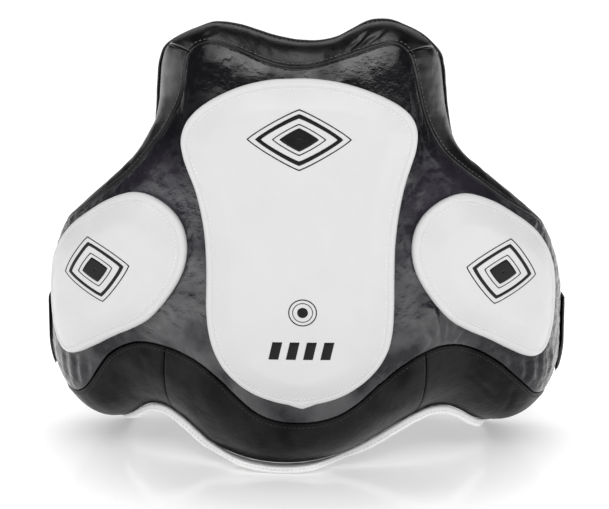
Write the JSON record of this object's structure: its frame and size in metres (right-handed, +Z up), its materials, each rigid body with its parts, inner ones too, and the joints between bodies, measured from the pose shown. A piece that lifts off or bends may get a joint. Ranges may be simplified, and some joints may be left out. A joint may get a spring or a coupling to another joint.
{
  "type": "trainer belly pad",
  "caption": "Curved padded leather torso shield with raised white target pads, a wide hook-and-loop waist band and two shoulder straps.",
  "frame": {"origin": "on the ground under the middle of the whole part, standing upright", "axes": "+Z up, -Y is the padded front that takes the kicks, +X is the right side seen from the front"},
  "size_m": [0.531, 0.2726, 0.4514],
  "materials": {
    "gloss_black_leather": "glossy",
    "satin_black_leather": "satin",
    "white_leather": "satin",
    "lining": "matte",
    "foam": "matte",
    "webbing": "matte",
    "hook_face": "matte",
    "loop_face": "matte",
    "strap_leather": "satin",
    "ring_steel": "polished"
  },
  "bodies": {
    "pad": {"front_panel": "gloss_black_leather", "rear_lining": "lining", "top_gusset": "satin_black_leather", "left_side_gusset": "satin_black_leather", "right_side_gusset": "satin_black_leather", "left_bottom_gusset": "satin_black_leather", "center_bottom_gusset": "satin_black_leather", "right_bottom_gusset": "satin_black_leather", "left_end_gusset": "satin_black_leather", "right_end_gusset": "satin_black_leather", "upper_edge_binding": "satin_black_leather", "lower_edge_binding": "white_leather", "firm_foam_sheet": "foam", "foam_core": "foam", "soft_foam_sheet": "foam", "center_pad_cover": "white_leather", "center_pad_rim": "white_leather", "center_pad_foam": "foam", "left_pad_cover": "white_leather", "left_pad_rim": "white_leather", "left_pad_foam": "foam", "right_pad_cover": "white_leather", "right_pad_rim": "white_leather", "right_pad_foam": "foam", "left_loop_patch": "loop_face", "right_band_anchor": "webbing", "left_strap_anchor": "strap_leather", "left_wing_chape": "strap_leather", "right_strap_anchor": "strap_leather", "right_wing_chape": "strap_leather"},
    "waist_band": {"waist_band": "webbing"},
    "hook_tab": {"hook_tab": "strap_leather", "hook_strip": "hook_face"},
    "left_shoulder_strap": {"left_shoulder_strap": "strap_leather", "left_strap_ring_tab": "webbing", "left_strap_ring": "ring_steel"},
    "left_strap_tail": {"left_strap_tail": "webbing", "left_tail_hook_strip": "hook_face"},
    "left_wing_ring": {"left_wing_ring": "ring_steel"},
    "right_shoulder_strap": {"right_shoulder_strap": "strap_leather", "right_strap_ring_tab": "webbing", "right_strap_ring": "ring_steel"},
    "right_strap_tail": {"right_strap_tail": "webbing", "right_tail_hook_strip": "hook_face"},
    "right_wing_ring": {"right_wing_ring": "ring_steel"}
  },
  "joints": [
    {"name": "waist_band_swing", "type": "hinge", "parent": "pad", "child": "waist_band", "pos_m": [0.251, 0.11275, 0.11704], "axis": [0, 0, -1], "range_deg": [0, 110]},
    {"name": "hook_tab_peel", "type": "hinge", "parent": "waist_band", "child": "hook_tab", "pos_m": [-0.251, 0.11275, 0.11704], "axis": [0, 0, -1], "range_deg": [0, 100]},
    {"name": "left_strap_swing", "type": "hinge", "parent": "pad", "child": "left_shoulder_strap", "pos_m": [-0.1159, -0.00786, 0.40804], "axis": [0.93, -0.3676, 0], "range_deg": [0, 120]},
    {"name": "left_tail_swing", "type": "hinge", "parent": "left_shoulder_strap", "child": "left_strap_tail", "pos_m": [-0.1159, -0.00786, 0.23104], "axis": [0.93, -0.3676, 0], "range_deg": [0, 90]},
    {"name": "left_wing_ring_swing", "type": "hinge", "parent": "pad", "child": "left_wing_ring", "pos_m": [-0.18098, 0.06752, 0.16204], "axis": [0, -1, 0], "range_deg": [0, 80]},
    {"name": "right_strap_swing", "type": "hinge", "parent": "pad", "child": "right_shoulder_strap", "pos_m": [0.1159, -0.00786, 0.40804], "axis": [0.93, 0.3676, 0], "range_deg": [0, 120]},
    {"name": "right_tail_swing", "type": "hinge", "parent": "right_shoulder_strap", "child": "right_strap_tail", "pos_m": [0.1159, -0.00786, 0.23104], "axis": [0.93, 0.3676, 0], "range_deg": [0, 90]},
    {"name": "right_wing_ring_swing", "type": "hinge", "parent": "pad", "child": "right_wing_ring", "pos_m": [0.18098, 0.06752, 0.16204], "axis": [0, 1, 0], "range_deg": [0, 80]}
  ]
}
